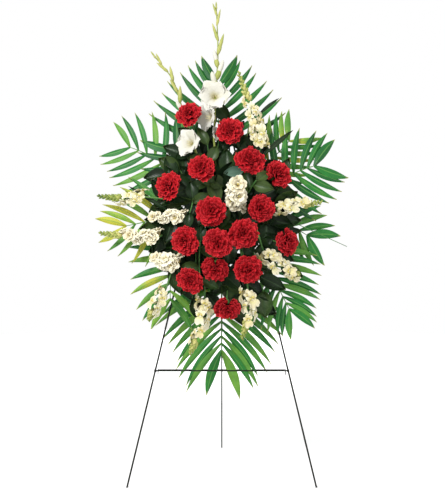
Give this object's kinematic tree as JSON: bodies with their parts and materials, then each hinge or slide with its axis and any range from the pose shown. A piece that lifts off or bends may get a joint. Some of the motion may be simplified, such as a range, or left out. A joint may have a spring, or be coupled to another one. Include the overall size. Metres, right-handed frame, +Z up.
{
  "type": "standing funeral spray",
  "caption": "Standing funeral spray: red carnations and white spike flowers over palm fronds, set in caged foam on a folding wire easel.",
  "frame": {"origin": "on the floor, under the middle of the whole part's box", "axes": "+Z up, +X to the right of someone looking at the front, +Y towards the back leg; the flowers face -Y"},
  "size_m": [0.7892, 0.5568, 1.5003],
  "materials": {
    "wire": "dark green enamel, satin",
    "foam": "soaked floral foam, matt",
    "cage": "moulded, matt",
    "palm": "waxy leaf, semi-matt",
    "lemon_leaf": "leathery leaf, satin",
    "stem": "waxy stem, semi-matt",
    "carnation": "petal, matt",
    "snapdragon": "petal, matt",
    "stock": "petal, matt",
    "gladiolus": "petal, matt"
  },
  "bodies": {
    "spray_and_front_frame": {"carnation_01_head": "carnation", "carnation_02_head": "carnation", "carnation_03_head": "carnation", "carnation_04_head": "carnation", "carnation_05_head": "carnation", "carnation_06_head": "carnation", "carnation_07_head": "carnation", "carnation_08_head": "carnation", "carnation_09_head": "carnation", "carnation_10_head": "carnation", "carnation_11_head": "carnation", "carnation_12_head": "carnation", "carnation_13_head": "carnation", "carnation_14_head": "carnation", "carnation_15_head": "carnation", "carnation_16_head": "carnation", "carnation_stems_01_03": "stem", "carnation_stems_02_04": "stem", "carnation_stems_05_07": "stem", "carnation_stems_06_08": "stem", "carnation_stems_09_15": "stem", "carnation_stems_10_13": "stem", "carnation_stems_11_12": "stem", "carnation_stems_14_16": "stem", "easel_crossbar": "wire", "easel_ledge_wire": "wire", "easel_leg_left": "wire", "easel_leg_right": "wire", "easel_pivot_bar": "wire", "foam_block": "foam", "foam_cage": "cage", "gladiolus_left": "gladiolus", "gladiolus_tall": "gladiolus", "lemon_leaf_left": "lemon_leaf", "lemon_leaf_lower": "lemon_leaf", "lemon_leaf_lower_right": "lemon_leaf", "lemon_leaf_right": "lemon_leaf", "lemon_leaf_upper": "lemon_leaf", "palm_frond_bottom": "palm", "palm_frond_left": "palm", "palm_frond_lower_left": "palm", "palm_frond_lower_right": "palm", "palm_frond_right": "palm", "palm_frond_shoulder": "palm", "palm_frond_top": "palm", "palm_frond_upper_left": "palm", "palm_frond_upper_right_back": "palm", "palm_frond_upper_right_front": "palm", "snapdragon_far_left": "snapdragon", "snapdragon_far_right": "snapdragon", "snapdragon_left": "snapdragon", "snapdragon_low_left": "snapdragon", "snapdragon_low_right": "snapdragon", "snapdragon_right": "snapdragon", "snapdragon_upper_right": "snapdragon", "stock_left": "stock", "stock_lower_left": "stock", "stock_middle": "stock", "stock_upper_left": "stock"},
    "back_leg": {"easel_back_leg": "wire"}
  },
  "joints": [
    {"name": "back_leg_fold", "type": "hinge", "parent": "spray_and_front_frame", "child": "back_leg", "pos_m": [-0.0003, 0.0264, 1.1673], "axis": [1, 0, 0], "range_deg": [-18, 0]}
  ]
}
